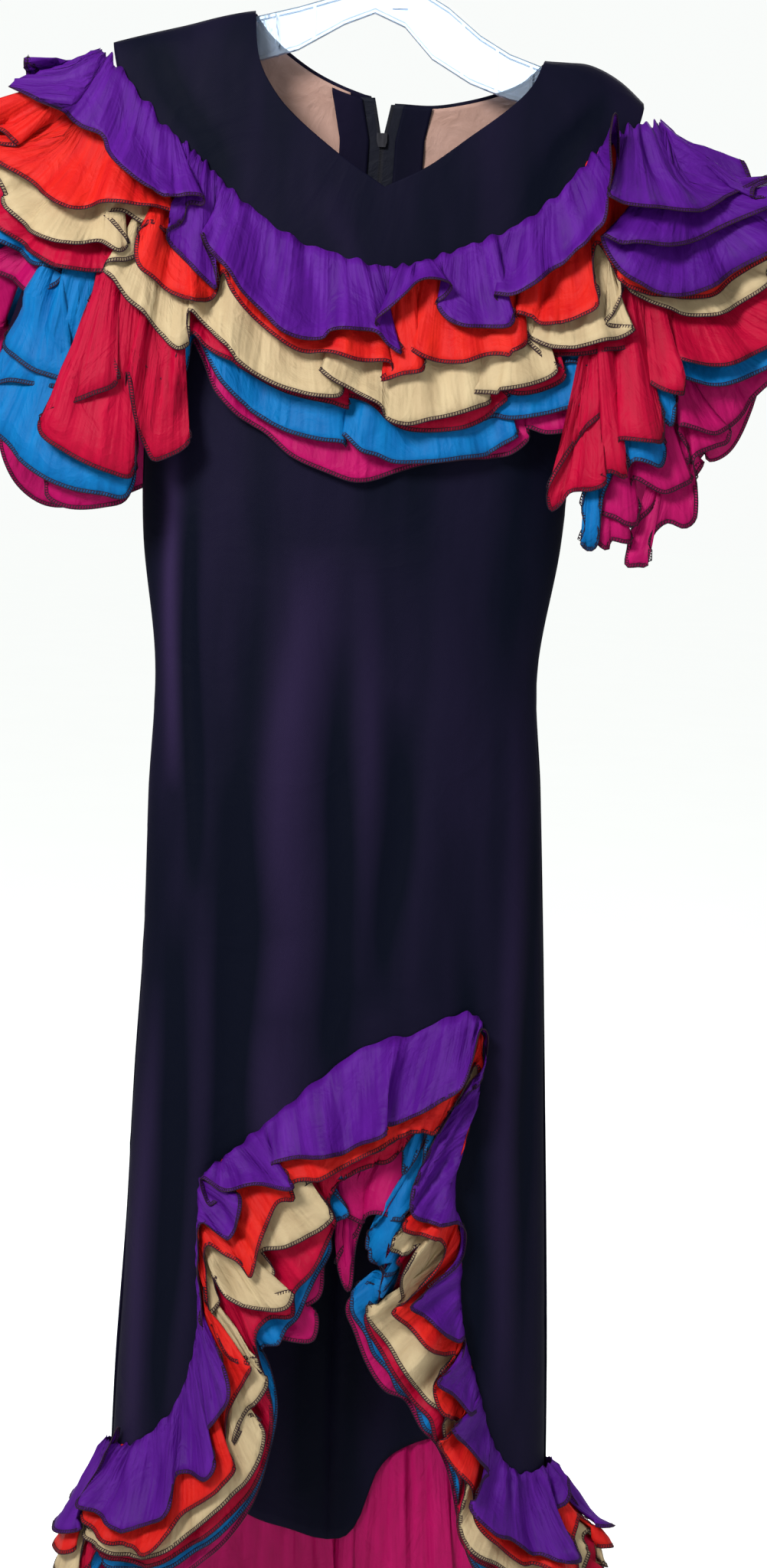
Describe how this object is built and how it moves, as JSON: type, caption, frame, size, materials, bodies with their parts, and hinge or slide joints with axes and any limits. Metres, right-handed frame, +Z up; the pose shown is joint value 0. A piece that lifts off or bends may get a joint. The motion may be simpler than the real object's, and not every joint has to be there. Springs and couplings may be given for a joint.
{
  "type": "rumba dress on a hanger",
  "caption": "Long fitted dark sheath dress with a tiered multicoloured ruffle bertha round the shoulders and the same ruffles round an arched front opening and hem, hung on a clear hanger",
  "frame": {"origin": "the point under the top of the hanger's hook, where it hangs on a rod", "axes": "+Z up, the dress's front faces -Y, +X to the wearer's left"},
  "size_m": [0.8371, 0.2219, 1.7406],
  "materials": {
    "crepe": "black-navy stretch crepe with a soft purple sheen on its folds",
    "ruffle_purple": "plain-weave ruffle cloth in purple, edges overlocked in dark maroon thread",
    "ruffle_orange": "plain-weave ruffle cloth in orange, edges overlocked in dark maroon thread",
    "ruffle_cream": "plain-weave ruffle cloth in cream, edges overlocked in dark maroon thread",
    "ruffle_crimson": "plain-weave ruffle cloth in crimson, edges overlocked in dark maroon thread",
    "ruffle_blue": "plain-weave ruffle cloth in blue, edges overlocked in dark maroon thread",
    "ruffle_magenta": "plain-weave ruffle cloth in magenta, edges overlocked in dark maroon thread",
    "lining": "tan tricot lining",
    "zip_tape": "black woven zip tape",
    "zip_metal": "dark lacquered metal",
    "zip_teeth": "dark moulded coil teeth",
    "hanger_plastic": "clear moulded plastic with pale edges",
    "hook_steel": "bright plated steel wire"
  },
  "bodies": {
    "dress": {"front_panel": "crepe", "back_left": "crepe", "back_right": "crepe", "sleeve_left": "crepe", "sleeve_right": "crepe", "zip_facing_left": "crepe", "zip_facing_right": "crepe", "lining_back_left": "lining", "lining_back_right": "lining", "zip_tape_left": "zip_tape", "zip_tape_right": "zip_tape", "zip_chain": "zip_teeth", "zip_slider": "zip_metal", "bertha_1_purple": "ruffle_purple", "bertha_2_orange": "ruffle_orange", "bertha_3_cream": "ruffle_cream", "bertha_4_crimson": "ruffle_crimson", "bertha_5_blue": "ruffle_blue", "bertha_6_magenta": "ruffle_magenta", "hem_1_purple": "ruffle_purple", "hem_2_orange": "ruffle_orange", "hem_3_cream": "ruffle_cream", "hem_4_crimson": "ruffle_crimson", "hem_5_blue": "ruffle_blue", "hem_6_magenta": "ruffle_magenta", "hanger_body": "hanger_plastic", "hanger_hook": "hook_steel"},
    "pull": {"zip_pull": "zip_metal"}
  },
  "joints": [
    {"name": "zip_pull_hinge", "type": "hinge", "parent": "dress", "child": "pull", "pos_m": [-0.01247, 0.04388, -0.182], "axis": [1, 0, 0], "range_deg": [0, 170]}
  ]
}
